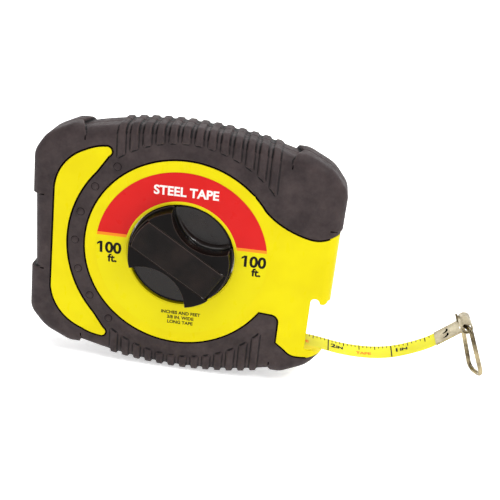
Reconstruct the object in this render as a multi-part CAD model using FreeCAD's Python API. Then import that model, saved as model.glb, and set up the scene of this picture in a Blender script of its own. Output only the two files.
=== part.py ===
"""Closed-case long steel tape: a hand-wound reel of 3/8 inch tape in a two-part case.

Frame: millimetres, +Z up. The origin is on the reel's axis, at the flat rear face of the
case. +X points to the nose where the tape comes out, and the crank is on the -Y side.
"""
import FreeCAD, Part
import math
import os

V = FreeCAD.Vector
X, Y, Z = V(1, 0, 0), V(0, 1, 0), V(0, 0, 1)

# ---- driving dimensions ----
CASE_DEPTH = 18.0
FRONT = -CASE_DEPTH
MIDDLE = FRONT / 2
HALF_WIDTH = 60.0          # over the corner guards
GUARD_GAP = 83.0           # between two guards, at mid-depth
GUARD_SLANT = 3.5          # how far a guard leans in toward the faces
SIDE_RECESS = 57.6         # between the guards
NOSE_X = 59.2
UPPER_LEFT_X = 58.4        # over the upper guard at -X
CROWN_SHIFT = 2.5          # the crowns sit off centre: the upper to -X, the lower to +X
CROWN_HALF_WIDTH = 38.0    # the crowned, ribbed edge between two guards
CROWN_END_Z = 44.6
CROWN_TOP_Z = 49.5
EDGE_ROUND = 4.0
GRIP_RIM = 2.5             # rubber over the rim
GRIP_SKIN = 1.4            # rubber over the faces
WALL = 1.7                 # plastic under the rubber

DISC_WINDOW_R = 37.8
BAND_OUTER_R = 44.5
RIB_END_R = 44.3
RIB_HEIGHT = 0.8           # over the crowned edges
FACE_RIB_HEIGHT = 0.7
RIB_WIDTH = 2.5
RIB_PITCH = 4.75
RIB_COUNT = 13
RIB_FIRST_X = -24.75
DOT_R = 41.4
DOT_COUNT = 7
DOT_STEP = 16.7            # degrees
DOT_SIZE = 1.3

CRANK_HOLE_R = 20.7
NOTCH_WALL_X = 51.6
LIP_TOP_Z = -34.5
REAR_LIP_Z = -36.6          # behind the tape the lip is lower
SLOT_HEIGHT = 2.0

TAPE_WIDTH = 9.4
TAPE_THICK = 0.16
TAPE_Z = -33.5             # the straight lead, on its centreline
TAPE_PULL = 40.0
COIL_R = 32.9
HUB_R = 13.0
FLANGE_R = 37.5
FLANGE_THICK = 0.55
AXLE_R = 3.0
RUN_GAP = 0.05

BAR_ANGLE = -31.5          # the crank's bar, from +X
DISC_R = 20.2
DISC_BACK = -15.0
DISC_FACE = -18.3
WEB_FACE = -16.2           # the disc's floor around the axle
BAR_R = 19.4
BAR_TOP = FRONT - 6.0
SCOOP_R = 16.2
WAIST = 7.7                # half the bar's width at its middle
SCOOP_FLOOR = -17.0
ARM_WIDTH = 12.4
ARM_THICK = 2.2
ARM_R = 18.7
ARM_TOP = BAR_TOP - 0.3
HINGE_S = 16.0             # along the bar
HINGE_Y = ARM_TOP + ARM_THICK / 2
PIN_R = 0.6
KNOB_S = -12.0
KNOB_R = 4.4
KNOB_LENGTH = 6.0
POCKET_R = 5.3
RIVET_R = 1.2

SCREW_PLACES = [(x, z) for x in (-45.0, 45.0) for z in (-27.0, 27.0)]
SCREW_R = 1.2
SCREW_HEAD_R = 2.5
BOSS_R = 3.2

CLIP_ANGLE = 40.0
CLIP_START = (103.0, -25.4)
CLIP_LENGTH = 13.5          # to the eye's axis
BLADE_IN_CLIP = 8.0
CLIP_WIDTH = 9.7
CLIP_SHEET = 0.3
EYE = (113.1, -16.5)
EYE_R = 2.4
EYE_BORE_R = 2.05
EYE_SLOT = (-11.25, -8.45)  # depth range of the slot that lets the ring's far leg out
LUG_ANGLE = 21.5           # from the vertical
RING_WIRE_R = 0.9
RING_LEAN = 21.4           # degrees forward of hanging straight down
RING_YAW = 24.0            # how far the ring is turned about its own length
RING_LENGTH = 20.6
RING_TOP_HALF = 3.1
RING_FOOT_HALF = 4.4
RING_MIDDLE = -12.4       # depth of the ring's middle where it hangs in the eye


# ---- small helpers ----
def at(x, z, y=0.0):
    return V(x, y, z)


def line(a, b):
    return Part.makeLine(at(*a), at(*b))


def arc(a, middle, b):
    return Part.Arc(at(*a), at(*middle), at(*b)).toShape()


def spline(points):
    curve = Part.BSplineCurve()
    curve.interpolate([at(*point) for point in points])
    return curve.toShape()


def plate(edges, y_low, y_high):
    """A solid between two depths, from the edges of its outline in the XZ plane."""
    face = Part.Face(Part.Wire(Part.__sortEdges__(edges)))
    face.translate(V(0, y_low, 0))
    return face.extrude(V(0, y_high - y_low, 0))


def cylinder(radius, y_low, y_high, x=0.0, z=0.0):
    return Part.makeCylinder(radius, y_high - y_low, V(x, y_low, z), Y)


def tube(outer, inner, y_low, y_high, x=0.0, z=0.0):
    return cylinder(outer, y_low, y_high, x, z).cut(cylinder(inner, y_low - 1, y_high + 1, x, z))


def box(x_range, y_range, z_range):
    size = [high - low for low, high in (x_range, y_range, z_range)]
    return Part.makeBox(*size, V(x_range[0], y_range[0], z_range[0]))


def joined(shapes):
    return shapes[0].multiFuse(shapes[1:]).removeSplitter()


def rounded_loop(points, radii):
    """A closed wire of straight runs joined by tangent arcs."""
    edges = []
    last = None
    first = None
    for index, corner in enumerate(points):
        before = (points[index - 1] - corner).normalize()
        after = (points[(index + 1) % len(points)] - corner).normalize()
        half = before.getAngle(after) / 2
        reach = radii[index] / math.tan(half)
        centre_way = (before + after).normalize()
        nearest = corner + centre_way * (radii[index] / math.sin(half) - radii[index])
        start, end = corner + before * reach, corner + after * reach
        if last is not None:
            edges.append(Part.makeLine(last, start))
        first = first or start
        edges.append(Part.Arc(start, nearest, end).toShape())
        last = end
    edges.append(Part.makeLine(last, first))
    return Part.Wire(edges)


def mirrored(points, flip_x=1, flip_z=1):
    return [(x * flip_x, z * flip_z) for x, z in points]


# ---- the case's outline ----
def crown(flip_z, extra=0.0):
    """The crowned edge above (flip_z 1) or below (flip_z -1), moved out by extra."""
    middle = -CROWN_SHIFT * flip_z
    ends = [(middle + x, (CROWN_END_Z + extra) * flip_z) for x in (-CROWN_HALF_WIDTH, CROWN_HALF_WIDTH)]
    return arc(ends[0], (middle, (CROWN_TOP_Z + extra) * flip_z), ends[1])


def body_outline():
    """The case without its corner guards: crowned above and below, straight at the sides."""
    rise = CROWN_TOP_Z - CROWN_END_Z
    radius = (CROWN_HALF_WIDTH ** 2 + rise ** 2) / (2 * rise)
    slope = math.asin(CROWN_HALF_WIDTH / radius)
    apex = CROWN_TOP_Z - radius + radius / math.cos(slope)
    near = (49.0, apex - (49.0 - CROWN_SHIFT) * math.tan(slope))
    far = (49.0, apex - (49.0 + CROWN_SHIFT) * math.tan(slope))
    points = [(-CROWN_SHIFT, apex), far, (NOSE_X, 30.0)]
    points += mirrored([(NOSE_X, 30.0), near, (-CROWN_SHIFT, apex)], flip_z=-1)
    points[-1] = (CROWN_SHIFT, -apex)
    points += mirrored([far, (SIDE_RECESS, 30.0)], -1, -1)
    points += mirrored([(SIDE_RECESS, 30.0), near], flip_x=-1)
    radii = [radius, 10.0, 8.0, 8.0, 10.0, radius, 10.0, 8.0, 8.0, 10.0]
    return rounded_loop([at(*point) for point in points], radii)


def guard_outline():
    """The outline that the four corner guards are cut from."""
    wide = [(43.5, 45.1), (53.8, 40.1), (HALF_WIDTH, 32.4)]
    tall = [(43.5, 46.2), (53.8, 41.2)]
    points = wide + [(NOSE_X, -33.8)] + mirrored(tall[::-1], flip_z=-1)
    points += mirrored(wide, -1, -1) + [(-UPPER_LEFT_X, 33.8)] + mirrored(tall[::-1], flip_x=-1)
    return rounded_loop([at(*point) for point in points], [8.0, 14.0, 8.0] + [8.0, 14.0, 8.0] * 3)


def rounded_plate(outline):
    """A plate as deep as the case, with the edges of both faces rounded over."""
    block = plate(outline.Edges, FRONT, 0)
    rims = [e for e in block.Edges if e.BoundBox.YLength < 1e-6]
    return block.makeFillet(EDGE_ROUND, rims)


def between_guards():
    """What is taken out of the guard block, so that only its four corners stay."""
    wide, narrow = GUARD_GAP / 2, GUARD_GAP / 2 - GUARD_SLANT
    corners = [(-narrow, FRONT - 1), (-wide, MIDDLE), (-narrow, 1)]
    corners += [(-x, y) for x, y in reversed(corners)]
    ring = Part.makePolygon([V(x, y, -80) for x, y in corners + corners[:1]])
    middle = Part.Face(ring).extrude(V(0, 0, 160))
    left = box((-80, -30), (-40, 20), (-13.1, 17.6))
    right = box((30, 80), (-40, 20), (-33.5, 17.6))
    return [middle, left, right]


def envelope():
    """The whole outside of the case."""
    guards = rounded_plate(guard_outline())
    for piece in between_guards():
        guards = guards.cut(piece)
    return rounded_plate(body_outline()).fuse(guards).removeSplitter()


def nose_edges():
    """The bare plastic area from the round window out to the nose and under the tape."""
    top = [(25.8, 28.0), (34.2, 19.2), (45.4, 14.0), (52.0, 13.3), (57.5, 15.6), (62.0, 17.8)]
    lip = [(62.0, -30.4), (59.4, -33.2), (57.4, -34.9), (54.2, -36.4), (49.0, -37.1)]
    tab = [(49.0, -37.1), (46.5, -36.7), (44.0, -35.0), (40.0, -32.0)]
    edges = [spline(top), line(top[-1], lip[0]), spline(lip), arc(tab[0], tab[1], tab[2])]
    edges += [line(tab[2], tab[3]), line(tab[3], (40.0, -23.2))]
    edges += [arc((40.0, -23.2), (39.1, -21.0), (36.8, -20.1)), line((36.8, -20.1), (32.4, -19.8))]
    return edges + [line((32.4, -19.8), (10.0, 0.0)), line((10.0, 0.0), top[0])]


def crescent_edges():
    """The bare plastic crescent behind the round window."""
    edges = [line((-51.1, -20.0), (-49.9, 20.0))]
    for side, edge_x, bend_x in ((-1, -51.1, -47.5), (1, -49.9, -46.8)):
        edges.append(arc((edge_x, 20.0 * side), (bend_x, 30.2 * side), (-38.4, 37.2 * side)))
        edges.append(arc((-38.4, 37.2 * side), (-34.4, 38.9 * side), (-30.2, 39.7 * side)))
        edges.append(arc((-30.2, 39.7 * side), (-28.1, 38.4 * side), (-29.1, 35.8 * side)))
        edges.append(line((-29.1, 35.8 * side), (-33.5, 29.3 * side)))
    return edges + [arc((-33.5, 29.3), (-BAND_OUTER_R, 0.0), (-33.5, -29.3))]


def notch():
    """The open notch in the nose, with the little tooth at the end of its roof."""
    points = [(66.0, LIP_TOP_Z), (NOTCH_WALL_X, LIP_TOP_Z), (NOTCH_WALL_X, -12.4)]
    edges = [line(a, b) for a, b in zip(points, points[1:])]
    edges.append(arc((NOTCH_WALL_X, -12.4), (52.1, -11.2), (53.2, -10.8)))
    edges.append(arc((53.2, -10.8), (54.6, -11.3), (55.1, -12.5)))
    edges.append(arc((55.1, -12.5), (56.6, -12.9), (58.2, -11.4)))
    edges += [line((58.2, -11.4), (66.0, -11.4)), line((66.0, -11.4), points[0])]
    room = plate(edges, FRONT - 1, 1)
    behind = (MIDDLE + TAPE_WIDTH / 2 + 0.3, 1)
    room = room.fuse(box((NOTCH_WALL_X, 66), behind, (REAR_LIP_Z, LIP_TOP_Z + 1)))
    return room.cut(front_lip()).removeSplitter()


def front_lip():
    """The part of the lip in front of the tape, which rises past the tape's near edge."""
    top = [(NOTCH_WALL_X - 1, -33.0), (54.7, -33.25), (57.0, -33.6), (59.0, -34.1), (66.0, -37.0)]
    edges = [spline(top), line(top[-1], (66.0, -40.0)), line((66.0, -40.0), (top[0][0], -40.0))]
    edges.append(line((top[0][0], -40.0), top[0]))
    return plate(edges, FRONT - 2, MIDDLE - TAPE_WIDTH / 2 - 0.4)


# ---- case shells and grips ----
def covers_block(outer):
    """The plastic of both case halves before it is hollowed or split."""
    inset = Part.Face(body_outline().makeOffset2D(-GRIP_RIM))
    inset.translate(V(0, FRONT + GRIP_SKIN, 0))
    core = inset.extrude(V(0, CASE_DEPTH - 2 * GRIP_SKIN, 0))
    nose = plate(nose_edges(), FRONT, 0)
    window = cylinder(DISC_WINDOW_R, FRONT, 0)
    crescent = plate(crescent_edges(), FRONT, 0)
    return joined([core, nose, window, crescent]).common(outer)


def cavity():
    inside = Part.Face(body_outline().makeOffset2D(-GRIP_RIM - WALL))
    skin = GRIP_SKIN + WALL
    inside.translate(V(0, FRONT + skin, 0))
    hollow = inside.extrude(V(0, CASE_DEPTH - 2 * skin, 0))
    keep = box((NOTCH_WALL_X - 2.2, 80), (-40, 20), (-80, 80))
    slot_y = TAPE_WIDTH / 2 + 0.5
    slot = box((45, 60), (MIDDLE - slot_y, MIDDLE + slot_y), (LIP_TOP_Z, LIP_TOP_Z + SLOT_HEIGHT))
    return hollow.cut(keep).fuse(slot)


def front_cover(block):
    half = block.common(box((-80, 80), (FRONT - 1, MIDDLE), (-80, 80)))
    top = FRONT + GRIP_SKIN + WALL
    bosses = [cylinder(BOSS_R, top - 0.5, MIDDLE, x, z) for x, z in SCREW_PLACES]
    shell = joined([half.cut(cavity())] + bosses)
    shell = shell.cut(cylinder(CRANK_HOLE_R, FRONT - 1, MIDDLE))
    for x, z in SCREW_PLACES:
        shell = shell.cut(cylinder(SCREW_R, FRONT + 5, MIDDLE + 1, x, z))
    return shell


def rear_cover(block):
    half = block.common(box((-80, 80), (MIDDLE, 1), (-80, 80)))
    bottom = -GRIP_SKIN - WALL
    bosses = [cylinder(BOSS_R, MIDDLE, bottom + 0.5, x, z) for x, z in SCREW_PLACES]
    shell = joined([half.cut(cavity())] + bosses)
    shell = shell.cut(cylinder(AXLE_R, bottom - 2, -0.8))
    for x, z in SCREW_PLACES:
        shell = shell.cut(cylinder(SCREW_R + 0.2, MIDDLE - 1, 1, x, z))
        shell = shell.cut(cylinder(SCREW_HEAD_R + 0.3, -1.8, 1, x, z))
    return shell


def ribs():
    """Raised bars that wrap over the crowned edges, from one face to the other."""
    bars = []
    for flip_z in (1, -1):
        high = crown(flip_z, RIB_HEIGHT)
        tips = [(vertex.X, vertex.Z) for vertex in high.Vertexes]
        feet = [(x, 0.0) for x, _ in tips]
        edges = [high, line(feet[0], tips[0]), line(feet[1], tips[1]), line(*feet)]
        outer = plate(edges, FRONT - FACE_RIB_HEIGHT, 0)
        rims = [e for e in outer.Edges if e.BoundBox.YLength < 1e-6 and e.BoundBox.ZLength > 3
                and e.BoundBox.XLength > 50]
        outer = outer.makeFillet(EDGE_ROUND, rims)
        for index in range(RIB_COUNT):
            x = RIB_FIRST_X + index * RIB_PITCH
            slab = box((x - RIB_WIDTH / 2, x + RIB_WIDTH / 2), (-40, 20), (-80, 80))
            bars.append(outer.common(slab))
    ring = cylinder(RIB_END_R, FRONT - 5, 5)
    return [bar.cut(ring) for bar in bars]


def dots():
    pips = []
    for index in range(DOT_COUNT):
        angle = math.radians(178.8 + (index - (DOT_COUNT - 1) / 2) * DOT_STEP)
        foot = V(DOT_R * math.cos(angle), FRONT + 0.4, DOT_R * math.sin(angle))
        pips.append(Part.makeCone(DOT_SIZE, DOT_SIZE * 0.5, 0.9, foot, -Y))
    return pips


def grips(outer, block):
    """(front, rear) rubber grips: what the plastic leaves of the outside, and its ribs."""
    rubber = outer.cut(block).cut(notch())
    front = rubber.common(box((-80, 80), (FRONT - 1, MIDDLE), (-80, 80)))
    rear = rubber.common(box((-80, 80), (MIDDLE, 1), (-80, 80)))
    bars = ribs()
    front_half = box((-80, 80), (FRONT - 2, MIDDLE), (-80, 80))
    rear_half = box((-80, 80), (MIDDLE, 2), (-80, 80))
    front = joined([front] + [bar.common(front_half).cut(block) for bar in bars] + dots())
    rear = joined([rear] + [bar.common(rear_half).cut(block) for bar in bars])
    for x, z in SCREW_PLACES:
        rear = rear.cut(cylinder(SCREW_HEAD_R + 0.3, -3, 1, x, z))
    return front, rear


def face_label():
    return tube(33.25, CRANK_HOLE_R + 0.5, FRONT - 0.12, FRONT)


def case_screws():
    screws = []
    for x, z in SCREW_PLACES:
        head = cylinder(SCREW_HEAD_R, -1.8, -0.4, x, z)
        head = head.cut(box((x - 1.6, x + 1.6), (-1.1, 0), (z - 0.3, z + 0.3)))
        head = head.cut(box((x - 0.3, x + 0.3), (-1.1, 0), (z - 1.6, z + 1.6)))
        screws.append(head.fuse(cylinder(SCREW_R, FRONT + 5.2, -1.8, x, z)).removeSplitter())
    return Part.makeCompound(screws)


# ---- reel ----
def axle():
    pin = cylinder(AXLE_R, WEB_FACE - 0.2, -0.8)
    return pin.cut(cylinder(1.0, -18, -9))


def retaining_washer():
    return tube(3.8, 1.1, WEB_FACE - 0.8, WEB_FACE - 0.2)


def retaining_screw():
    seat = WEB_FACE - 0.8
    head = cylinder(2.4, seat - 1.4, seat)
    head = head.cut(box((-3, 3), (seat - 2, seat - 0.7), (-0.35, 0.35)))
    return head.fuse(cylinder(1.0, seat, -9.5)).removeSplitter()


def spool_hub():
    inner = TAPE_WIDTH / 2 + 0.3
    hub = cylinder(HUB_R, MIDDLE - inner, MIDDLE + inner)
    boss = cylinder(7.4, DISC_BACK, MIDDLE - inner)
    hub = joined([hub, boss]).cut(cylinder(AXLE_R + RUN_GAP, -20, 5))
    for s, t in DISC_SCREW_PLACES:
        x, z = along_bar(s, t)
        hub = hub.cut(cylinder(0.8, -20, -11.8, x, z))
    return hub


def flange(side):
    """A thin disc on one side of the coil: side -1 is at the crank, +1 at the rear."""
    near = MIDDLE + side * (TAPE_WIDTH / 2 + 0.3)
    far = near + side * FLANGE_THICK
    hole = 7.4 if side < 0 else AXLE_R + 0.4
    ring = tube(FLANGE_R, hole, min(near, far), max(near, far))
    for index in range(3):
        angle = math.radians(90 + 120 * index)
        window = cylinder(5.5, -40, 20, 22.5 * math.cos(angle), 22.5 * math.sin(angle))
        ring = ring.cut(window)
    return ring


def tape_coil():
    half = TAPE_WIDTH / 2
    return tube(COIL_R, HUB_R, MIDDLE - half, MIDDLE + half)


# ---- crank ----
def along_bar(s, t):
    """(x, z) of a point s along the crank's bar and t across it."""
    angle = math.radians(BAR_ANGLE)
    return (s * math.cos(angle) - t * math.sin(angle), s * math.sin(angle) + t * math.cos(angle))


DISC_SCREW_PLACES = [(3.4, 4.6), (3.4, -4.6)]


def turned(shape):
    """A shape drawn with the bar along +X, turned to where the bar lies."""
    shape.rotate(V(0, 0, 0), Y, -BAR_ANGLE)
    return shape


def crank_disc():
    base = cylinder(DISC_R, DISC_FACE, DISC_BACK)
    disc = base.fuse(cylinder(BAR_R, BAR_TOP, DISC_FACE))
    for side in (-1, 1):
        disc = disc.cut(cylinder(SCOOP_R, BAR_TOP - 1, SCOOP_FLOOR, 0, side * (WAIST + SCOOP_R)))
    channel_floor = HINGE_Y + ARM_THICK / 2 + 0.2
    half = ARM_WIDTH / 2 + 0.2
    disc = disc.cut(box((-30, 30), (BAR_TOP - 1, channel_floor), (-half, half)))
    disc = disc.cut(cylinder(POCKET_R, BAR_TOP - 1, -15.7, KNOB_S, 0))
    disc = disc.cut(cylinder(4.1, BAR_TOP - 1, WEB_FACE))
    disc = disc.cut(cylinder(AXLE_R + RUN_GAP, -20, -14))
    for s, t in DISC_SCREW_PLACES:
        disc = disc.cut(cylinder(0.8, -25, -14, s, t)).cut(cylinder(1.5, -25, -17.0, s, t))
    pin = Part.makeCylinder(PIN_R, 2 * half + 5, V(HINGE_S, HINGE_Y, -half - 2.5), Z)
    disc = disc.cut(pin)
    return turned(disc)


def disc_screws():
    screws = []
    for s, t in DISC_SCREW_PLACES:
        head = cylinder(1.4, -18.0, -17.0, s, t)
        screws.append(head.fuse(cylinder(0.8, -17.0, -12.0, s, t)).removeSplitter())
    return turned(Part.makeCompound(screws))


def arm_hinge_pin():
    length = ARM_WIDTH + 5.4
    return turned(Part.makeCylinder(PIN_R, length, V(HINGE_S, HINGE_Y, -length / 2), Z))


def crank_arm():
    half = ARM_WIDTH / 2
    bar = box((-30, HINGE_S), (ARM_TOP, ARM_TOP + ARM_THICK), (-half, half))
    knuckle = Part.makeCylinder(ARM_THICK / 2, ARM_WIDTH, V(HINGE_S, HINGE_Y, -half), Z)
    arm = bar.fuse(knuckle).removeSplitter().common(cylinder(ARM_R, -30, 0))
    bore = Part.makeCylinder(PIN_R + RUN_GAP, 30, V(HINGE_S, HINGE_Y, -15), Z)
    arm = arm.cut(bore).cut(cylinder(RIVET_R, ARM_TOP + 0.9, 0, KNOB_S, 0))
    return turned(arm)


def knob_rivet():
    """The stud that the finger knob turns on, set into the arm's underside."""
    under = ARM_TOP + ARM_THICK
    stud = cylinder(RIVET_R, ARM_TOP + 0.9, under + KNOB_LENGTH - 0.7, KNOB_S, 0)
    head = cylinder(2.2, under + KNOB_LENGTH - 0.7, under + KNOB_LENGTH, KNOB_S, 0)
    return turned(stud.fuse(head).removeSplitter())


def crank_knob():
    under = ARM_TOP + ARM_THICK
    end = under + KNOB_LENGTH
    knob = cylinder(KNOB_R, under + 0.1, end + 0.05, KNOB_S, 0)
    knob = knob.makeFillet(0.8, [e for e in knob.Edges if abs(e.CenterOfMass.y - end - 0.05) < 1e-3
                                 and e.Closed])
    knob = knob.cut(cylinder(RIVET_R + RUN_GAP, -30, 0, KNOB_S, 0))
    return turned(knob.cut(cylinder(2.3, end - 0.75, 0, KNOB_S, 0)))


# ---- tape and end fitting ----
def tape_path():
    """The free tape's centreline: the straight lead, the sag, and the run into the clip."""
    start = (51.0, TAPE_Z)
    sag = [start, (57.0, -34.0), (65.0, -35.2), (73.0, -35.6), (81.0, -35.0), (88.0, -33.3)]
    sag += [(95.0, -30.3), CLIP_START]
    curve = Part.BSplineCurve()
    points = [at(*point) for point in sag]
    rise = V(math.cos(math.radians(CLIP_ANGLE)), 0, math.sin(math.radians(CLIP_ANGLE)))
    curve.interpolate(Points=points, InitialTangent=X, FinalTangent=rise)
    end = at(*CLIP_START) + rise * BLADE_IN_CLIP
    return [line((0.0, TAPE_Z), start), curve.toShape(), Part.makeLine(at(*CLIP_START), end)]


def tape_blade():
    path = Part.Wire(tape_path())
    strip = path.extrude(V(0, TAPE_WIDTH, 0))
    strip.translate(V(0, MIDDLE - TAPE_WIDTH / 2, 0))
    return strip.makeOffsetShape(-TAPE_THICK, 0.01, fill=True)


def on_clip(shape):
    """A shape drawn flat along +X from the clip's start, turned up to where the clip lies."""
    shape.rotate(V(0, 0, 0), Y, -CLIP_ANGLE)
    shape.translate(at(*CLIP_START))
    return shape


def end_clip():
    """A folded sheet round the tape's end, rolled into an eye, with a lug on its far edge."""
    sides = (MIDDLE - CLIP_WIDTH / 2, MIDDLE + CLIP_WIDTH / 2)
    above = box((0, CLIP_LENGTH), sides, (TAPE_THICK, TAPE_THICK + CLIP_SHEET))
    below = box((0, CLIP_LENGTH), sides, (-CLIP_SHEET, 0))
    filler = box((BLADE_IN_CLIP, CLIP_LENGTH), sides, (0, TAPE_THICK))
    eye = cylinder(EYE_R, *sides, *EYE)
    clip = joined([on_clip(above), on_clip(below), on_clip(filler), eye, clip_lug(sides[1])])
    clip = clip.cut(cylinder(EYE_BORE_R, -30, 10, *EYE))
    slot = box((-2.2, 5.0), EYE_SLOT, (-5.0, -0.5))
    slot.translate(at(*EYE))
    return clip.cut(slot)


def clip_lug(far_side):
    lug = box((-0.45, 0.45), (far_side - 0.9, far_side), (-1.0, 4.0))
    lug.rotate(V(0, 0, 0), Y, -LUG_ANGLE)
    lug.translate(at(111.3, -19.0))
    return lug


def end_ring():
    """A long wire link through the eye, drawn flat and then turned to where it hangs."""
    corners = [V(-RING_TOP_HALF, 0, 0), V(RING_TOP_HALF, 0, 0)]
    corners += [V(RING_FOOT_HALF, 0, -RING_LENGTH), V(-RING_FOOT_HALF, 0, -RING_LENGTH)]
    loop = rounded_loop(corners, [2.2, 2.2, 3.0, 3.0])
    edges = loop.Edges[-1:] + loop.Edges[:-1]
    start = edges[0].valueAt(edges[0].FirstParameter)
    section = Part.Wire(Part.makeCircle(RING_WIRE_R, start, edges[0].tangentAt(0)))
    link = Part.Wire(edges).makePipeShell([section], True, True)
    link.rotate(V(0, 0, 0), Z, 90.0 + RING_YAW)
    link.rotate(V(0, 0, 0), Y, -RING_LEAN)
    link.translate(at(*EYE, RING_MIDDLE))
    return link


def main():
    os.makedirs("parts", exist_ok=True)
    outer = envelope()
    block = covers_block(outer).cut(notch())
    front_grip, rear_grip = grips(outer, block)
    nodes = {
        "front_cover": front_cover(block), "rear_cover": rear_cover(block),
        "front_grip": front_grip, "rear_grip": rear_grip,
        "face_label": face_label(), "case_screws": case_screws(),
        "axle": axle(), "retaining_washer": retaining_washer(),
        "retaining_screw": retaining_screw(), "spool_hub": spool_hub(),
        "front_flange": flange(-1), "rear_flange": flange(1), "tape_coil": tape_coil(),
        "crank_disc": crank_disc(), "disc_screws": disc_screws(),
        "arm_hinge_pin": arm_hinge_pin(), "crank_arm": crank_arm(),
        "knob_rivet": knob_rivet(), "crank_knob": crank_knob(),
        "tape_blade": tape_blade(), "end_clip": end_clip(), "end_ring": end_ring(),
    }
    for name, shape in nodes.items():
        shape.exportStep(f"parts/{name}.step")
        low, high = shape.BoundBox.getPoint(0), shape.BoundBox.getPoint(6)
        print(f"{name:18s} solids {len(shape.Solids)} valid {shape.isValid()} "
              f"volume {shape.Volume:9.1f} box {[round(v, 1) for v in (*low, *high)]}")


main()
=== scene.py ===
"""The looks of the closed-case long tape: case, label, crank, blade, end fitting and studio."""
import math

import bmesh
import bpy
import numpy as np
from mathutils import Matrix, Vector
from mathutils.bvhtree import BVHTree


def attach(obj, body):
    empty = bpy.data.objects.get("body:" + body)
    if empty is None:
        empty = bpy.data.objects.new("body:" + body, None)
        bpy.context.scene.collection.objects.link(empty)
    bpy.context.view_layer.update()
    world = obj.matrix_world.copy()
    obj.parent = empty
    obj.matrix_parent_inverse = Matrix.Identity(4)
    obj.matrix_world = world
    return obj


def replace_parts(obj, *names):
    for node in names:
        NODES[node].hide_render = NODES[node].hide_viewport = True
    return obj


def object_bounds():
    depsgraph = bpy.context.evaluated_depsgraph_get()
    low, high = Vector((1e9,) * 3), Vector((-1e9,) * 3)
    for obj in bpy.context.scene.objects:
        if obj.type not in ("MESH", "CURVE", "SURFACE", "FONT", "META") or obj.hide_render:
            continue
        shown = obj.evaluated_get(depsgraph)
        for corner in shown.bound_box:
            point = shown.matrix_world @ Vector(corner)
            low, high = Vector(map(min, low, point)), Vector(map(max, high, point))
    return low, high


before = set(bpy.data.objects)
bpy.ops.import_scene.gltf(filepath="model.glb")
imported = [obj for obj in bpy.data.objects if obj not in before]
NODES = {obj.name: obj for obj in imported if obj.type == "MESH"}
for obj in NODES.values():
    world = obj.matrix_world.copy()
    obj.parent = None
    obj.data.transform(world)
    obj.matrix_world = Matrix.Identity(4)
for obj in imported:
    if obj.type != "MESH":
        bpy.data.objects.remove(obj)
CAD_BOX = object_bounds()
MM = 0.001                          # lengths below are in mm unless a comment says metres
FACE_Y = -18.0                      # the case's front face; the rear face is at 0
BAR_ANGLE = math.radians(-31.5)     # how far the crank's bar is turned from +X
WELD = 1e-6                         # metres


# ---------------------------------------------------------------- materials
def linear(rgb):
    """Display colour values, 0 to 255, as scene-linear values."""
    out = []
    for value in rgb:
        c = value / 255
        out.append(c / 12.92 if c <= 0.04045 else ((c + 0.055) / 1.055) ** 2.4)
    return (*out, 1.0)


CREASE_RELIEF = (0.012, 0.05)       # values of "relief" between which a crease is darkened with painted shade
EDGE_RELIEF = (-0.04, -0.12)        # and between which a rounded edge is lightened as a painted highlight
MIX_A, MIX_B, MIX_COLOUR = 6, 7, 2  # a colour Mix node's two inputs and its output


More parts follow.
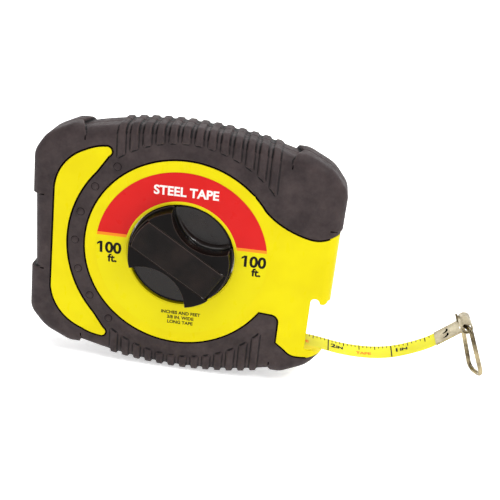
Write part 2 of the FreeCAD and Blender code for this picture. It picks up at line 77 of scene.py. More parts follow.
class Surface:
    """A Principled material with noise-driven colour, roughness and bump."""

    def __init__(self, name, colour, roughness, metallic=0.0, **fixed):
        self.mat = bpy.data.materials.new(name)
        self.mat.use_nodes = True
        self.tree = self.mat.node_tree
        self.tree.nodes.clear()
        self.out = self.node("ShaderNodeOutputMaterial")
        self.bsdf = self.node("ShaderNodeBsdfPrincipled")
        self.link(self.bsdf.outputs[0], self.out.inputs[0])
        self.bsdf.inputs["Base Color"].default_value = linear(colour)
        self.bsdf.inputs["Roughness"].default_value = roughness
        self.bsdf.inputs["Metallic"].default_value = metallic
        for key, value in fixed.items():
            self.bsdf.inputs[key.replace("_", " ")].default_value = value
        self.coords = self.node("ShaderNodeTexCoord").outputs["Object"]
        self.last_bump = None

    def node(self, kind):
        return self.tree.nodes.new(kind)

    def link(self, a, b):
        self.tree.links.new(a, b)

    def noise(self, scale, detail=3.0, stretch=None, rough=0.5):
        """A noise field; scale is in features per metre."""
        source = self.coords
        if stretch is not None:
            mapping = self.node("ShaderNodeMapping")
            mapping.inputs["Scale"].default_value = stretch
            self.link(source, mapping.inputs[0])
            source = mapping.outputs[0]
        tex = self.node("ShaderNodeTexNoise")
        tex.inputs["Scale"].default_value = scale
        tex.inputs["Detail"].default_value = detail
        tex.inputs["Roughness"].default_value = rough
        self.link(source, tex.inputs["Vector"])
        return tex.outputs[0]

    def attribute(self, name):
        """The value that the mesh stores at each vertex under this name."""
        node = self.node("ShaderNodeAttribute")
        node.attribute_name = name
        return node.outputs["Fac"]

    def shade_creases(self, crease_shade, edge):
        """Paints shade by darkening the base colour in the mesh's creases, and paints a highlight by
        lightening it on rounded edges.
        """
        source = self.bsdf.inputs["Base Color"].links[0].from_socket
        relief = self.attribute("relief")
        # The first colour is painted shade in hollows; the second is a painted highlight on proud edges.
        for (low, high), colour in ((CREASE_RELIEF, crease_shade), (EDGE_RELIEF, edge)):
            mix = self.node("ShaderNodeMix")
            mix.data_type = "RGBA"
            self.link(self.ramp(relief, low, high, 0.0, 1.0), mix.inputs[0])
            self.link(source, mix.inputs[MIX_A])
            mix.inputs[MIX_B].default_value = linear(colour)
            source = mix.outputs[MIX_COLOUR]
        self.link(source, self.bsdf.inputs["Base Color"])
        return self

    def cells(self, scale):
        """Distances to the middles of rounded cells; scale is in cells per metre."""
        tex = self.node("ShaderNodeTexVoronoi")
        tex.inputs["Scale"].default_value = scale
        self.link(self.coords, tex.inputs["Vector"])
        return tex.outputs["Distance"]

    def ramp(self, source, low, high, a, b):
        """Maps source from [low, high] to [a, b]."""
        remap = self.node("ShaderNodeMapRange")
        for place, value in enumerate((low, high, a, b), start=1):
            remap.inputs[place].default_value = value
        self.link(source, remap.inputs[0])
        return remap.outputs[0]

    def tint(self, source, low, high, colour_a, colour_b):
        """Blends the base colour from a to b as source goes from low to high."""
        ramp = self.node("ShaderNodeValToRGB")
        ramp.color_ramp.elements[0].position = low
        ramp.color_ramp.elements[0].color = linear(colour_a)
        ramp.color_ramp.elements[1].position = high
        ramp.color_ramp.elements[1].color = linear(colour_b)
        self.link(source, ramp.inputs[0])
        self.link(ramp.outputs[0], self.bsdf.inputs["Base Color"])
        return self

    def vary_roughness(self, source, a, b):
        """Moves the roughness between a and b with the middle of the source's range."""
        self.link(self.ramp(source, 0.3, 0.7, a, b), self.bsdf.inputs["Roughness"])
        return self

    def bump(self, source, distance):
        """Adds relief of the given height in metres."""
        node = self.node("ShaderNodeBump")
        node.inputs["Strength"].default_value = 1.0
        node.inputs["Distance"].default_value = distance
        self.link(source, node.inputs["Height"])
        if self.last_bump is not None:
            self.link(self.last_bump, node.inputs["Normal"])
        self.last_bump = node.outputs[0]
        self.link(node.outputs[0], self.bsdf.inputs["Normal"])
        return self


ORANGE_PEEL = 0.00001               # metres


def moulded(name, light, dark, roughness):
    """Moulded plastic: faint flow streaks, fine orange peel, and slight scuffing."""
    s = Surface(name, light, roughness, Specular_IOR_Level=0.1)
    s.tint(s.noise(60, 4), 0.35, 0.62, dark, light)
    s.vary_roughness(s.noise(420, 5, stretch=(1.0, 1.0, 0.35)), roughness - 0.05, roughness + 0.12)
    s.bump(s.noise(900, 2), ORANGE_PEEL)
    return s.bump(s.noise(90, 2), ORANGE_PEEL * 5).mat


def rubber(name):
    """Black rubber with a fine moulded stipple, a dusty bloom, painted shade in its creases and a
    painted highlight on its edges.
    """
    s = Surface(name, (56, 46, 48), 0.6, Specular_IOR_Level=0.22)
    s.tint(s.noise(130, 6, rough=0.65), 0.36, 0.7, (47, 38, 39), (67, 56, 56))
    # Painted shade in the creases, painted highlight on the rounded edges.
    s.shade_creases((7, 4, 5), (66, 54, 53))
    s.vary_roughness(s.noise(700, 4), 0.5, 0.72)
    s.bump(s.cells(2600), 0.00003)
    s.bump(s.noise(5200, 2), 0.000018)
    return s.bump(s.noise(110, 2), 0.00012).mat


def printed(name, light, dark):
    """Ink under a glossy film, with the film's slight unevenness."""
    s = Surface(name, light, 0.3, Specular_IOR_Level=0.1, Coat_Weight=0.04, Coat_Roughness=0.12)
    s.tint(s.noise(45, 3), 0.3, 0.7, dark, light)
    s.vary_roughness(s.noise(300, 4), 0.26, 0.4)
    return s.bump(s.noise(240, 3), 0.00001).mat


def brushed(name, light, dark, roughness, stretch):
    """Metal with fine lengthwise brushing and faint staining."""
    s = Surface(name, light, roughness, metallic=1.0)
    s.tint(s.noise(160, 5, rough=0.6), 0.33, 0.68, dark, light)
    grain = s.noise(900, 4, stretch=stretch)
    s.vary_roughness(grain, roughness - 0.08, roughness + 0.14)
    s.bump(grain, 0.000012)
    return s.bump(s.noise(500, 3), 0.00001).mat


def crank_black(name, light, dark, roughness, grain, specular):
    """The crank's black moulded plastic, with painted shade in creases and a painted highlight on edges;
    grain is the height of its texture in metres.
    """
    s = Surface(name, light, roughness, Specular_IOR_Level=specular)
    s.tint(s.noise(140, 5), 0.35, 0.7, dark, light)
    # Painted shade in the creases, painted highlight on the rounded edges.
    s.shade_creases((5, 4, 4), (74, 64, 60))
    s.vary_roughness(s.noise(260, 5), roughness - 0.06, roughness + 0.1)
    s.bump(s.noise(2600, 3), grain)
    return s.bump(s.noise(120, 2), 0.00002).mat


def enamel(name):
    """Yellow enamel on the steel blade, under a clear coat."""
    coat = {"Coat_Weight": 0.05, "Coat_Roughness": 0.15}
    s = Surface(name, (220, 214, 16), 0.4, Specular_IOR_Level=0.12, **coat)
    s.tint(s.noise(120, 4, stretch=(0.3, 1.0, 1.0)), 0.3, 0.7, (208, 201, 8), (226, 221, 24))
    s.vary_roughness(s.noise(900, 4, stretch=(0.15, 1.0, 1.0)), 0.28, 0.45)
    return s.bump(s.noise(700, 2, stretch=(0.2, 1.0, 1.0)), 0.000008).mat


def ink(name, colour):
    """Flat printing ink with faint lighter specks."""
    s = Surface(name, colour, 0.5, Specular_IOR_Level=0.1)
    lighter = tuple(min(255, c + 12) for c in colour)
    s.tint(s.noise(900, 3), 0.35, 0.75, colour, lighter)
    return s.bump(s.noise(2500, 2), 0.000004).mat


def shadow_line(name):
    """Painted shade: the dull dark laid where narrow joints, grooves and slots only show shadow."""
    s = Surface(name, (7, 5, 5), 0.95, Specular_IOR_Level=0.02)
    s.tint(s.noise(800, 3), 0.35, 0.75, (5, 3, 3), (11, 8, 8))
    return s.bump(s.noise(2500, 2), 0.000004).mat


YELLOW = moulded("case_yellow", (226, 211, 0), (220, 203, 0), 0.3)
RUBBER = rubber("grip_black")
LABEL_YELLOW = printed("label_yellow", (225, 212, 0), (221, 206, 0))
LABEL_RED = printed("label_red", (212, 28, 27), (205, 24, 22))
LABEL_ORANGE = printed("label_orange", (246, 146, 30), (240, 138, 24))
CRANK = crank_black("crank_grained", (31, 23, 21), (13, 9, 8), 0.45, 0.00012, specular=0.12)
SCOOP = crank_black("crank_polished", (28, 18, 15), (15, 9, 8), 0.19, 0.000002, specular=0.28)
BAR = crank_black("crank_side", (13, 9, 9), (8, 5, 5), 0.42, 0.00002, specular=0.09)
BLADE = enamel("blade_enamel")
CLIP = brushed("clip_plated", (196, 186, 158), (132, 120, 94), 0.3, (1.0, 0.25, 1.0))
# The ring's dark patches are deep: partly staining, partly painted shade and dark reflection along the
# wire.
WIRE = brushed("ring_plated", (166, 152, 120), (48, 38, 26), 0.22, (1.0, 1.0, 0.15))
STEEL = brushed("plain_steel", (196, 196, 194), (150, 150, 148), 0.28, (1.0, 1.0, 0.3))
ZINC = brushed("zinc_screw", (178, 180, 182), (120, 122, 124), 0.36, (1.0, 1.0, 1.0))
REEL_PLASTIC = moulded("reel_black", (42, 40, 40), (34, 32, 32), 0.5)
BLACK_INK = ink("black_ink", (14, 11, 10))
WHITE_INK = ink("white_ink", (236, 232, 228))
# A near-black finish for pieces that stand in for shade: painted shade.
PAINTED_SHADE = shadow_line("seam_shadow")
ORANGE_INK = ink("orange_ink", (236, 120, 24))


# ---------------------------------------------------------------- mesh helpers
def add_mesh(name, mesh, material, body):
    """Adds a mesh that rides on a body; material None leaves its materials as they are."""
    obj = bpy.data.objects.new(name, mesh)
    bpy.context.scene.collection.objects.link(obj)
    if material is not None:
        mesh.materials.clear()
        mesh.materials.append(material)
    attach(obj, body)
    return obj


def from_bmesh(bm, name):
    """A mesh with its faces turned outwards; the working copy is freed."""
    bmesh.ops.recalc_face_normals(bm, faces=bm.faces)
    mesh = bpy.data.meshes.new(name)
    bm.to_mesh(mesh)
    bm.free()
    return mesh


def welded(node):
    """A CAD node's mesh with its doubled vertices joined, to edit."""
    bm = bmesh.new()
    bm.from_mesh(NODES[node].data)
    bmesh.ops.remove_doubles(bm, verts=bm.verts, dist=WELD)
    return bm


def cad_copy(node):
    """A welded copy of a CAD node's mesh."""
    bm = welded(node)
    mesh = bpy.data.meshes.new(node + "_skin")
    bm.to_mesh(mesh)
    bm.free()
    return mesh


def finished_mesh(obj):
    """The mesh that a temporary object comes to; the object itself is removed."""
    bpy.context.scene.collection.objects.link(obj)
    graph = bpy.context.evaluated_depsgraph_get()
    mesh = bpy.data.meshes.new_from_object(obj.evaluated_get(graph))
    bpy.data.objects.remove(obj)
    return mesh


def softened(mesh, voxel, passes):
    """The same solid with its edges rounded: an even fine mesh, then smoothed."""
    obj = bpy.data.objects.new("soften", mesh)
    remesh = obj.modifiers.new("even", "REMESH")
    remesh.mode = "VOXEL"
    remesh.voxel_size = voxel
    smooth = obj.modifiers.new("smooth", "SMOOTH")
    smooth.factor = 0.5
    smooth.iterations = passes
    out = finished_mesh(obj)
    for polygon in out.polygons:
        polygon.use_smooth = True
    store_relief(out, voxel)
    return out


def store_relief(mesh, spacing):
    """Stores how hollow (above 0) or proud (below 0) the mesh is at each vertex."""
    count = len(mesh.vertices)
    places = np.empty(count * 3)
    normals = np.empty(count * 3)
    ends = np.empty(len(mesh.edges) * 2, dtype=np.int64)
    mesh.vertices.foreach_get("co", places)
    mesh.vertices.foreach_get("normal", normals)
    mesh.edges.foreach_get("vertices", ends)
    a, b = ends[0::2], ends[1::2]
    degree = np.bincount(a, minlength=count) + np.bincount(b, minlength=count)

    def around(values):
        total = np.bincount(a, weights=values[b], minlength=count)
        return (total + np.bincount(b, weights=values[a], minlength=count)) / np.maximum(degree, 1)

    places = places.reshape(-1, 3)
    middle = np.column_stack([around(places[:, axis]) for axis in range(3)])
    relief = ((middle - places) * normals.reshape(-1, 3)).sum(axis=1) / spacing
    relief = 0.5 * relief + 0.5 * around(relief)
    mesh.attributes.new("relief", "FLOAT", "POINT").data.foreach_set("value", relief.astype(np.float32))


def skin(node, voxel, passes, material, body, shape=None):
    """A softened stand-in for a CAD node; shape, if given, may move its vertices."""
    mesh = softened(cad_copy(node), voxel, passes)
    if shape is not None:
        shape(mesh)
    obj = add_mesh(node + "_skin", mesh, material, body)
    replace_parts(obj, node)
    return obj


def along_bar(x, z):
    """(along, across) the crank's bar for a point of the face."""
    s = x * math.cos(BAR_ANGLE) + z * math.sin(BAR_ANGLE)
    t = -x * math.sin(BAR_ANGLE) + z * math.cos(BAR_ANGLE)
    return s, t


# ---------------------------------------------------------------- case
STUD_COUNT = 7
STUD_RING = 41.4                    # the studs' distance from the reel's axis
STUD_MIDDLE, STUD_STEP = 178.8, 16.7    # degrees round the window
STUD_RADIUS, STUD_HEIGHT = 1.4, 0.8
STUD_SINK = 0.1                     # how deep a stud's foot is in the rubber
STUD_SIDES, STUD_ROWS = 28, 7
FOOT_GAP = 0.02                     # a foot's bead runs this far outside its stud
STUD_BAND = (38.5, 44.0)            # where the studs' own ring of edges lies,
STUD_BAND_DEPTH = 0.3               # and how far behind the front face
FLAT = 0.99                         # the least |normal.y| of a flat face
LEVEL_TOLERANCE = 2e-5              # metres
TOUCHING = 0.00012                  # metres between a cover's edge and its grip
FOLD = -0.5                         # radians; a hollow fold is below this
GRIP_DEPTH = 3.4                    # how far from a face a grip's edges still show
GRIP_STRETCH, GRIP_INSIDE = 1.16, 46.5      # the oval inside which a grip is hidden
SCREWS = [(x, z) for x in (-45, 45) for z in (-27, 27)]
SCREW_CLEAR, SCREW_DEPTH = 4, -3.0
SEAM_BEAD, SEAM_SINK, CREASE_BEAD, STUD_BEAD = 0.42, 0.22, 0.24, 0.1


def build_case():
    """The two rubber grips, the studs, and the dark lines of painted shade round them."""
    skin("front_grip", 0.34 * MM, 2, RUBBER, "case")
    skin("rear_grip", 0.42 * MM, 3, RUBBER, "case")
    build_studs()
    for side, plane in (("front", FACE_Y), ("rear", 0.0)):
        build_lines(side, plane)


def add_dome(bm, centre, turns):
    """One stud: a low dome with its foot a little inside the rubber."""
    rows = []
    for k in range(STUD_ROWS):
        tilt = math.pi / 2 * k / STUD_ROWS
        radius, height = STUD_RADIUS * math.cos(tilt), STUD_HEIGHT * math.sin(tilt)
        row = []
        for a in turns:
            offset = Vector((radius * math.cos(a), STUD_SINK - height, radius * math.sin(a)))
            row.append(bm.verts.new((centre + offset) * MM))
        rows.append(row)
    for low, high in zip(rows, rows[1:]):
        for k in range(STUD_SIDES):
            after = (k + 1) % STUD_SIDES
            bm.faces.new((low[k], low[after], high[after], high[k]))
    tip = bm.verts.new((centre + Vector((0, STUD_SINK - STUD_HEIGHT, 0))) * MM)
    for k in range(STUD_SIDES):
        bm.faces.new((rows[-1][k], rows[-1][(k + 1) % STUD_SIDES], tip))
    bm.faces.new(rows[0])


def build_studs():
    """Low domes on the rubber band beside the round window, with dark beads of painted shade round their
    feet.
    """
    bm = bmesh.new()
    feet = []
    turns = [2 * math.pi * k / STUD_SIDES for k in range(STUD_SIDES)]
    foot_radius = STUD_RADIUS + FOOT_GAP
    for count in range(STUD_COUNT):
        angle = math.radians(STUD_MIDDLE + (count - STUD_COUNT // 2) * STUD_STEP)
        centre = Vector((STUD_RING * math.cos(angle), FACE_Y, STUD_RING * math.sin(angle)))
        add_dome(bm, centre, turns)
        foot = [(centre + Vector((math.cos(a), 0, math.sin(a))) * foot_radius) * MM for a in turns]
        feet.append(foot + foot[:1])
    mesh = from_bmesh(bm, "grip_studs")
    for polygon in mesh.polygons:
        polygon.use_smooth = len(polygon.vertices) < STUD_SIDES
    add_mesh("grip_studs", mesh, RUBBER, "case")
    # The dark beads round the feet are painted shade.
    add_bead("grip_stud_feet", feet, STUD_BEAD)


def chained(edges):
    """Runs of points that follow a set of mesh edges end to end."""
    links = {}
    for edge in edges:
        a, b = (tuple(round(c, 7) for c in vert.co) for vert in edge.verts)
        links.setdefault(a, []).append(b)
        links.setdefault(b, []).append(a)
    runs = []
    while links:
        run = [min(links, key=lambda point: (len(links[point]) != 1, point))]
        while links.get(run[-1]):
            following = links[run[-1]].pop()
            links[following].remove(run[-1])
            run.append(following)
        runs.append(run)
        links = {point: ends for point, ends in links.items() if ends}
    return runs


def seam_edges(bm, grip, plane):
    """Edges where a cover's flat face, at depth plane, meets its rubber grip."""
    level = plane * MM

    def flat(face):
        off_level = abs(face.calc_center_median().y - level)
        return abs(face.normal.y) > FLAT and off_level < LEVEL_TOLERANCE

    found = []
    for edge in bm.edges:
        middle = (edge.verts[0].co + edge.verts[1].co) / 2
        at_rim = sum(flat(face) for face in edge.link_faces) == 1
        if at_rim and grip.find_nearest(middle)[3] < TOUCHING:
            found.append(edge)
    return found


def is_crease(edge):
    """Whether an edge of a grip is the foot of a rib or of a guard's step."""
    if len(edge.link_faces) != 2 or edge.calc_face_angle_signed() > FOLD:
        return False
    x, y, z = ((edge.verts[0].co + edge.verts[1].co) / 2) / MM
    in_band = x < 0 and STUD_BAND[0] < math.hypot(x, z) < STUD_BAND[1]
    at_stud = in_band and y < FACE_Y + STUD_BAND_DEPTH
    deep = abs(y - FACE_Y / 2) < abs(FACE_Y / 2) - GRIP_DEPTH
    hidden = deep and math.hypot(x / GRIP_STRETCH, z) < GRIP_INSIDE
    near_screw = any(math.hypot(x - a, z - b) < SCREW_CLEAR for a, b in SCREWS)
    return not (at_stud or hidden or (y > SCREW_DEPTH and near_screw))


def add_bead(name, runs, radius, inward=0.0):
    """Fine dark beads of painted shade that follow runs of points, moved by inward along +Y."""
    curve = bpy.data.curves.new(name, "CURVE")
    curve.dimensions = "3D"
    curve.bevel_depth = radius * MM
    curve.bevel_resolution = 1
    for run in runs:
        closed = run[0] == run[-1]
        points = run[:-1] if closed else run
        spline = curve.splines.new("POLY")
        spline.points.add(len(points) - 1)
        for point, (x, y, z) in zip(spline.points, points):
            point.co = (x, y + inward * MM, z, 1.0)
        spline.use_cyclic_u = closed
    mesh = finished_mesh(bpy.data.objects.new(name, curve))
    add_mesh(name, mesh, PAINTED_SHADE, "case")


def build_lines(side, plane):
    """Painted shade: dark beads in the shadowed joint between plastic and rubber, and at the shadowed
    feet of the rubber's ribs.
    """
    grip, cover = welded(side + "_grip"), welded(side + "_cover")
    runs = chained(seam_edges(cover, BVHTree.FromBMesh(grip), plane))
    add_bead(side + "_seam", runs, SEAM_BEAD, SEAM_SINK if plane < 0 else -SEAM_SINK)
    creases = chained([edge for edge in grip.edges if is_crease(edge)])
    add_bead(side + "_creases", creases, CREASE_BEAD)
    grip.free()
    cover.free()


# ---------------------------------------------------------------- label
LABEL_TURN = math.radians(0.85)     # the label is stuck on very slightly turned
LABEL_LIFT, INK_LIFT = 0.1, 0.155   # how far the film and its ink stand off the case
YELLOW_PART, RED_PART, ORANGE_PART = range(3)


def arch(bm, outer, inner, level, upper, index):
    """The part of a ring above a level line if upper, else the part below it."""
    steps = 96
    rows = []
    for k in range(steps + 1):
        u = k / steps
        pair = []
        for radius in (outer, inner):
            start = math.asin(max(-1.0, min(1.0, level / radius)))
            if upper:
                angle = start + u * (math.pi - 2 * start)
            else:
                angle = math.pi - start + u * (math.pi + 2 * start)
            pair.append((radius * math.cos(angle), radius * math.sin(angle)))
        rows.append(pair)
    verts = [[label_vertex(bm, *point) for point in pair] for pair in rows]
    for a, b in zip(verts, verts[1:]):
        bm.faces.new((a[0], b[0], b[1], a[1])).material_index = index


def label_vertex(bm, x, z):
    """A vertex on the label's face; x and z are in the label's own, slightly turned, frame."""
    c, s = math.cos(LABEL_TURN), math.sin(LABEL_TURN)
    return bm.verts.new(((x * c - z * s) * MM, (FACE_Y - LABEL_LIFT) * MM, (x * s + z * c) * MM))


def ring_faces(bm, outer, inner, index):
    """A whole flat ring on the label."""
    steps = 160
    rows = []
    for k in range(steps):
        angle = 2 * math.pi * k / steps
        rows.append([label_vertex(bm, r * math.cos(angle), r * math.sin(angle)) for r in (outer, inner)])
    for a, b in zip(rows, rows[1:] + rows[:1]):
        bm.faces.new((a[0], b[0], b[1], a[1])).material_index = index


def strip_faces(bm, outer, inner, low, high, index):
    """The label's level strip, on both sides of the round hole."""
    for side in (-1, 1):
        corners = []
        for level, radius in ((low, inner), (low, outer), (high, outer), (high, inner)):
            corners.append(label_vertex(bm, side * math.sqrt(radius ** 2 - level ** 2), level))
        bm.faces.new(corners).material_index = index


def build_label():
    """The printed film: red above, an orange strip, and yellow below and round the hole."""
    outer, inner, hole = 33.2, 21.9, 21.2
    strip_top, strip_foot = 6.1, 4.9
    bm = bmesh.new()
    arch(bm, outer, inner, strip_top, True, RED_PART)
    arch(bm, outer, inner, strip_foot, False, YELLOW_PART)
    strip_faces(bm, outer, inner, strip_foot, strip_top, ORANGE_PART)
    ring_faces(bm, inner, hole, YELLOW_PART)
    bmesh.ops.remove_doubles(bm, verts=bm.verts, dist=2 * WELD)
    mesh = from_bmesh(bm, "face_label_film")
    obj = add_mesh("face_label_film", mesh, None, "case")
    for material in (LABEL_YELLOW, LABEL_RED, LABEL_ORANGE):
        mesh.materials.append(material)
    solid = obj.modifiers.new("film", "SOLIDIFY")
    solid.thickness = 0.08 * MM
    solid.offset = 0.0
    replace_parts(obj, "face_label")


def text_curve(name, text, size, bold):
    """Centred lettering; bold is how far its outlines are pushed out."""
    curve = bpy.data.curves.new(name, "FONT")
    curve.body = text
    curve.size = size * MM
    curve.offset = bold * MM
    curve.align_x = "CENTER"
    curve.align_y = "CENTER"
    return curve


def face_text(name, text, size, centre, material, bold, width=1.0):
    """Flat lettering on the label, centred on a point of the face."""
    curve = text_curve(name, text, size, bold)
    curve.extrude = 0.01 * MM
    curve.resolution_u = 6
    mesh = finished_mesh(bpy.data.objects.new(name, curve))
    if text.startswith("1"):
        mesh = with_flag(mesh, size)
    x, z = centre
    place = Matrix.Translation(Vector((x * MM, (FACE_Y - INK_LIFT) * MM, z * MM)))
    place = place @ Matrix.Rotation(-LABEL_TURN, 4, "Y") @ Matrix.Rotation(math.pi / 2, 4, "X")
    mesh.transform(place @ Matrix.Diagonal((width, 1.0, 1.0, 1.0)))
    add_mesh(name, mesh, material, "case")


def with_flag(mesh, size):
    """Gives a plain leading figure 1 its small flag at the upper left."""
    bm = bmesh.new()
    bm.from_mesh(mesh)
    left = min(vert.co.x for vert in bm.verts)
    top = max(vert.co.y for vert in bm.verts if vert.co.x < left + 0.1 * size * MM)
    reach, drop = 0.17 * size * MM, 0.2 * size * MM
    # corners, as shares of the flag's reach and drop
    outline = [(0.02, 0), (0, 0), (-1, -0.62), (-1, -1.28), (0.02, -0.72)]
    bm.faces.new([bm.verts.new((left + reach * x, top + drop * y, 0.0)) for x, y in outline])
    out = bpy.data.meshes.new(mesh.name + "_flag")
    bm.to_mesh(out)
    bm.free()
    return out


def build_lettering():
    """Generic words where the photographed label has its own."""
    note_top, note_step = -24.6, 2.1
    unit_right, unit_down = 1.4, 4.2
    for side, x, z in (("left", -27.9, -0.7), ("right", 28.1, 1.1)):
        face_text(f"length_{side}", "100", 6.2, (x, z), BLACK_INK, bold=0.22, width=1.02)
        unit_centre = (x + unit_right, z - unit_down)
        face_text(f"unit_{side}", "ft.", 4.4, unit_centre, BLACK_INK, bold=0.16)
    face_text("label_title", "STEEL TAPE", 4.9, (0.4, 25.5), WHITE_INK, bold=0.15, width=0.98)
    notes = ("INCHES AND FEET", "3/8 IN. WIDE", "LONG TAPE")
    for line, note in enumerate(notes):
        centre = (1.6, note_top - note_step * line)
        face_text(f"label_note_{line + 1}", note, 1.9, centre, BLACK_INK, bold=0.06)


# ---------------------------------------------------------------- crank
SCOOP_CENTRE = 23.9                 # from the crank's axis, across the bar
SCOOP_RADIUS = 16.2
SCOOP_FILLET = 2.4                  # the rounded foot of a scoop's wall
SCOOP_MOUTH_Y = -23.4
SCOOP_FLOOR_Y = -16.7               # just behind the floors
FLOOR_BAND = 0.7                    # a floor's vertices are this near to it
FLOOR_DISH = 0.12                   # how much deeper a floor's middle is
DISH_RUN = 3
DISC_INSIDE = 19.6                  # a little less than the disc's radius
POLISH_OVERLAP = 0.35               # how far the polish runs over a wall's top


def from_scoop_wall(co):
    """How far a point of the crank disc is inside the nearer finger scoop's wall, in mm."""
    s, t = along_bar(co.x / MM, co.z / MM)
    return SCOOP_RADIUS - math.hypot(s, abs(t) - SCOOP_CENTRE)


def hollow_scoops(mesh):
    """Gives the two finger scoops walls with rounded feet, and slightly dished floors."""
    for vertex in mesh.vertices:
        x, y, z = (c / MM for c in vertex.co)
        inward = from_scoop_wall(vertex.co)
        on_floor = SCOOP_FLOOR_Y - FLOOR_BAND < y < SCOOP_FLOOR_Y
        if not on_floor or math.hypot(x, z) > DISC_INSIDE:
            continue
        if 0 < inward < SCOOP_FILLET:
            drop = math.sqrt(SCOOP_FILLET ** 2 - (SCOOP_FILLET - inward) ** 2)
            vertex.co.y -= (SCOOP_FILLET - drop) * MM
        elif inward >= SCOOP_FILLET:
            vertex.co.y += FLOOR_DISH * MM * min(1.0, (inward - SCOOP_FILLET) / DISH_RUN)


def polish_scoops(disc):
    """Paints the scoops' floors and walls with the polished finish."""
    disc.data.materials.append(SCOOP)
    for polygon in disc.data.polygons:
        x, y, z = (c / MM for c in polygon.center)
        within = SCOOP_MOUTH_Y < y < SCOOP_FLOOR_Y and math.hypot(x, z) < DISC_INSIDE
        if within and from_scoop_wall(polygon.center) > -POLISH_OVERLAP:
            polygon.material_index = 1


def build_crank():
    """The disc with its polished scoops, the folding arm and the knob."""
    polish_scoops(skin("crank_disc", 0.2 * MM, 4, BAR, "reel", hollow_scoops))
    skin("crank_arm", 0.16 * MM, 4, CRANK, "arm")
    skin("crank_knob", 0.16 * MM, 3, CRANK, "knob")


# ---------------------------------------------------------------- tape
INCH = 25.4
SCALE_ZERO_X = 112.2                # the scale's zero, out at the end fitting
MARKS_FROM_X, MARKS_TO_X = 3, 102.4     # from inside the case to the clip
FAR_EDGE_Y = -4.35                  # just inside the blade's edge away from the crank
SIXTEENTHS, INCHES_SHOWN = 16, 4
# every so many sixteenths a mark has this length and width
MARK_SIZES = ((16, 9.1, 0.5), (8, 3.6, 0.42), (4, 2.8, 0.38), (1, 1.8, 0.34))
MARK_RISE, FIGURE_RISE = 0.02, 0.035    # how far the ink stands off the blade


def blade_top():
    """The blade's upper surface as (x, z) points in mm, from the CAD mesh."""
    mesh = NODES["tape_blade"].data
    points = {}
    for polygon in mesh.polygons:
        if polygon.normal.z < 0.5:
            continue
        for index in polygon.vertices:
            co = mesh.vertices[index].co
            points[round(co.x / MM, 2)] = co.z / MM
    return sorted(points.items())


def on_blade(top, x):
    """Height and slope of the blade's upper surface at x."""
    for (x0, z0), (x1, z1) in zip(top, top[1:]):
        if x0 <= x <= x1:
            share = (x - x0) / max(x1 - x0, 1e-6)
            return z0 + share * (z1 - z0), math.atan2(z1 - z0, x1 - x0)
    return top[-1][1], 0.0


def build_marks():
    """Inch marks and their sixteenths along the far edge, with placeholder lettering."""
    top = blade_top()
    bm = bmesh.new()
    for count in range(1, SIXTEENTHS * INCHES_SHOWN):
        x = SCALE_ZERO_X - count * INCH / SIXTEENTHS
        if x > MARKS_TO_X or x < MARKS_FROM_X:
            continue
        length, width = next(size for step, *size in MARK_SIZES if count % step == 0)
        z, slope = on_blade(top, x)
        along = Vector((math.cos(slope), 0, math.sin(slope))) * (width / 2)
        lift = Vector((-math.sin(slope), 0, math.cos(slope))) * MARK_RISE
        far = Vector((x, FAR_EDGE_Y, z)) + lift
        near = far + Vector((0, -length, 0))
        corners = [far - along, far + along, near + along, near - along]
        bm.faces.new([bm.verts.new(c * MM) for c in corners])
    add_mesh("tape_marks", from_bmesh(bm, "tape_marks"), BLACK_INK, "blade")
    for number in range(1, INCHES_SHOWN + 1):
        x = SCALE_ZERO_X - number * INCH
        tape_text(top, f"inch_{number}", str(number), 3.9, x + 2.1, -8.8, BLACK_INK, 0.16)
        tape_text(top, f"unit_{number}", "IN", 2.8, x + 4.7, -9.0, BLACK_INK, 0.14)
        tape_text(top, f"span_{number}", "TAPE", 2.6, x - 11.0, -10.6, ORANGE_INK, 0.12)


def tape_text(top, name, text, size, x, y, material, bold):
    """Lettering printed on the blade, read with the case at the left."""
    mesh = finished_mesh(bpy.data.objects.new(name, text_curve(name, text, size, bold)))
    bm = bmesh.new()
    bm.from_mesh(mesh)
    bmesh.ops.subdivide_edges(bm, edges=bm.edges, cuts=1)
    for vertex in bm.verts:
        at_x = x + vertex.co.x / MM
        z = on_blade(top, at_x)[0]
        vertex.co = Vector((at_x * MM, y * MM + vertex.co.y, (z + FIGURE_RISE) * MM))
    bm.to_mesh(mesh)
    bm.free()
    add_mesh(name, mesh, material, "blade")


# ---------------------------------------------------------------- end fitting
CLIP_PLACE = (103.0, 0.0, -25.4)    # the origin of the clip's own, sloping frame
CLIP_RISE = math.radians(40.0)
SLOT_ALONG, SLOT_MIDDLES_Y = 4.2, (-10.6, -7.2)
SLOT_RADIUS, SLOT_HALF = 1.4, 0.58  # an arc's radius and half its greatest width
SLOT_START, SLOT_SWEEP = -120, 160  # degrees
SLOT_FOOT, SLOT_TOP = 0.3, 0.49     # heights in the sloping plate's own frame
SLOT_END = 0.6                      # how bluntly an arc's ends close, in steps


def slot_section(radius, half):
    """The four corners of an arc's cross-section, as (radius, height)."""
    inner, outer = radius - half, radius + half
    return (inner, SLOT_FOOT), (outer, SLOT_FOOT), (outer, SLOT_TOP), (inner, SLOT_TOP)


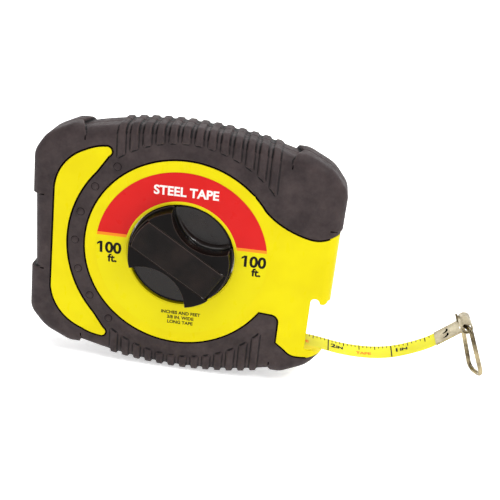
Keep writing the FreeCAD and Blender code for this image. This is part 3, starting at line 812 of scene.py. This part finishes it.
def curved_slots():
    """Painted shade: two thin dark curved inlays side by side on the clip, for the shadowed curved slots
    punched in it.
    """
    bm = bmesh.new()
    place = Matrix.Translation(Vector(CLIP_PLACE) * MM) @ Matrix.Rotation(-CLIP_RISE, 4, "Y")
    steps = 14
    for middle_y in SLOT_MIDDLES_Y:
        rows = []
        for k in range(steps + 1):
            sweep = math.radians(SLOT_START + SLOT_SWEEP * k / steps)
            half = SLOT_HALF * math.sin(math.pi * (k + SLOT_END) / (steps + 2 * SLOT_END))
            row = []
            for radius, height in slot_section(SLOT_RADIUS, half):
                along, across = radius * math.cos(sweep), radius * math.sin(sweep)
                spot = Vector((SLOT_ALONG + along, middle_y + across, height))
                row.append(bm.verts.new(place @ (spot * MM)))
            rows.append(row)
        for low, high in zip(rows, rows[1:]):
            for k in range(4):
                after = (k + 1) % 4
                bm.faces.new((low[k], low[after], high[after], high[k]))
        bm.faces.new(rows[0])
        bm.faces.new(rows[-1])
    return from_bmesh(bm, "curved_slots")


def build_fitting():
    """The end clip with its sheet edges eased, dark inlays of painted shade for its punched slots, and
    the ring.
    """
    obj = bpy.data.objects.new("clip_raw", cad_copy("end_clip"))
    ease = obj.modifiers.new("ease", "BEVEL")
    ease.width = 0.07 * MM
    ease.segments = 2
    ease.limit_method = "ANGLE"
    ease.angle_limit = math.radians(50)
    eased = finished_mesh(obj)
    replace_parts(add_mesh("end_clip_skin", eased, CLIP, "blade"), "end_clip")
    # Dark inlays of painted shade where the clip's slots are.
    add_mesh("clip_slots", curved_slots(), PAINTED_SHADE, "blade")
    skin("end_ring", 0.14 * MM, 6, WIRE, "ring")


# ---------------------------------------------------------------- carried-over CAD nodes
def paint_cad():
    """Gives the CAD nodes that are shown as they are their materials."""
    kept = {
        "front_cover": YELLOW, "rear_cover": YELLOW, "case_screws": ZINC, "axle": STEEL,
        "retaining_screw": ZINC, "retaining_washer": STEEL, "spool_hub": REEL_PLASTIC,
        "front_flange": STEEL, "rear_flange": STEEL, "tape_coil": BLADE, "disc_screws": ZINC,
        "arm_hinge_pin": STEEL, "knob_rivet": STEEL, "tape_blade": BLADE,
    }
    for node, material in kept.items():
        mesh = NODES[node].data
        mesh.materials.clear()
        mesh.materials.append(material)


# ---------------------------------------------------------------- stage, light, camera
def build_stage():
    """A pale floor that curves up into a backdrop."""
    gap = 0.0002                    # metres, like all lengths on the stage
    floor_z = CAD_BOX[0].z - gap
    front, start, radius, top, half_width, steps = -1.6, 1.1, 0.6, 2.4, 2.4, 24
    profile = [(front, 0.0), (start, 0.0)]
    for k in range(1, steps + 1):
        angle = math.pi / 2 * k / steps
        profile.append((start + radius * math.sin(angle), radius - radius * math.cos(angle)))
    profile.append((start + radius, top))
    bm = bmesh.new()
    sides = (-half_width, half_width)
    rows = [[bm.verts.new((x, y, floor_z + z)) for x in sides] for y, z in profile]
    for a, b in zip(rows, rows[1:]):
        bm.faces.new((a[0], a[1], b[1], b[0]))
    mesh = from_bmesh(bm, "floor")
    for polygon in mesh.polygons:
        polygon.use_smooth = True
    s = Surface("studio_paper", (250, 250, 250), 0.8)
    s.tint(s.noise(6, 2), 0.2, 0.8, (248, 248, 248), (252, 252, 252))
    s.bsdf.inputs["Emission Color"].default_value = (1.0, 1.0, 1.0, 1.0)
    s.bsdf.inputs["Emission Strength"].default_value = 0.52
    mesh.materials.append(s.mat)
    floor = bpy.data.objects.new("floor", mesh)
    bpy.context.scene.collection.objects.link(floor)


def area_light(name, place, target, size, watts):
    """A white rectangular light at a place, turned to a target; lengths in metres."""
    light = bpy.data.lights.new(name, "AREA")
    light.shape = "RECTANGLE"
    light.size, light.size_y = size
    light.energy = watts
    obj = bpy.data.objects.new(name, light)
    obj.location = place
    obj.rotation_euler = (Vector(target) - Vector(place)).to_track_quat("-Z", "Y").to_euler()
    bpy.context.scene.collection.objects.link(obj)


def build_light():
    """Soft studio light: the glint is the one that shows in the crank's scoops."""
    target = (0.02, -0.01, 0.0)
    area_light("overhead", (0.05, -0.15, 0.85), target, (0.8, 0.5), 4.0)
    area_light("key_left", (-0.75, -0.7, 0.5), target, (0.5, 0.5), 1.95)
    area_light("fill_right", (0.85, -0.55, 0.35), target, (0.5, 0.7), 1.45)
    area_light("glint", (0.58, -0.4, 0.73), target, (0.26, 0.1), 2.8)
    area_light("backdrop_wash", (0.0, 0.5, 1.5), (0.0, 1.6, 0.6), (1.6, 0.5), 16.0)


def build_world():
    """Surroundings that go from grey at the horizon to white overhead."""
    world = bpy.data.worlds.new("studio")
    world.use_nodes = True
    tree = world.node_tree
    background = tree.nodes["Background"]
    background.inputs[1].default_value = 0.385
    coords = tree.nodes.new("ShaderNodeTexCoord")
    split = tree.nodes.new("ShaderNodeSeparateXYZ")
    ramp = tree.nodes.new("ShaderNodeValToRGB")
    ramp.color_ramp.elements[0].position = 0.0
    ramp.color_ramp.elements[0].color = (0.16, 0.16, 0.16, 1.0)
    ramp.color_ramp.elements[1].position = 0.75
    ramp.color_ramp.elements[1].color = (1.0, 1.0, 1.0, 1.0)
    tree.links.new(coords.outputs["Generated"], split.inputs[0])
    tree.links.new(split.outputs["Z"], ramp.inputs[0])
    tree.links.new(ramp.outputs[0], background.inputs[0])
    bpy.context.scene.world = world
    bpy.context.scene.view_settings.view_transform = "Standard"


def build_camera():
    """The photograph's point of view."""
    right = Vector((0.98994, 0.0998, 0.10033))
    up = Vector((-0.13116, 0.38083, 0.91529))
    back = right.cross(up).normalized()
    up = back.cross(right).normalized()
    data = bpy.data.cameras.new("camera")
    data.lens = 59.9
    data.sensor_width = 36.0
    data.clip_start, data.clip_end = 0.01, 20.0
    camera = bpy.data.objects.new("camera", data)
    place = Matrix((right, up, back)).transposed().to_4x4()
    place.translation = Vector((42.91, -307.44, 128.93)) * MM
    camera.matrix_world = place
    bpy.context.scene.collection.objects.link(camera)
    bpy.context.scene.camera = camera


paint_cad()
build_case()
build_label()
build_lettering()
build_crank()
build_marks()
build_fitting()
build_stage()
build_light()
build_world()
build_camera()

bpy.context.view_layer.update()
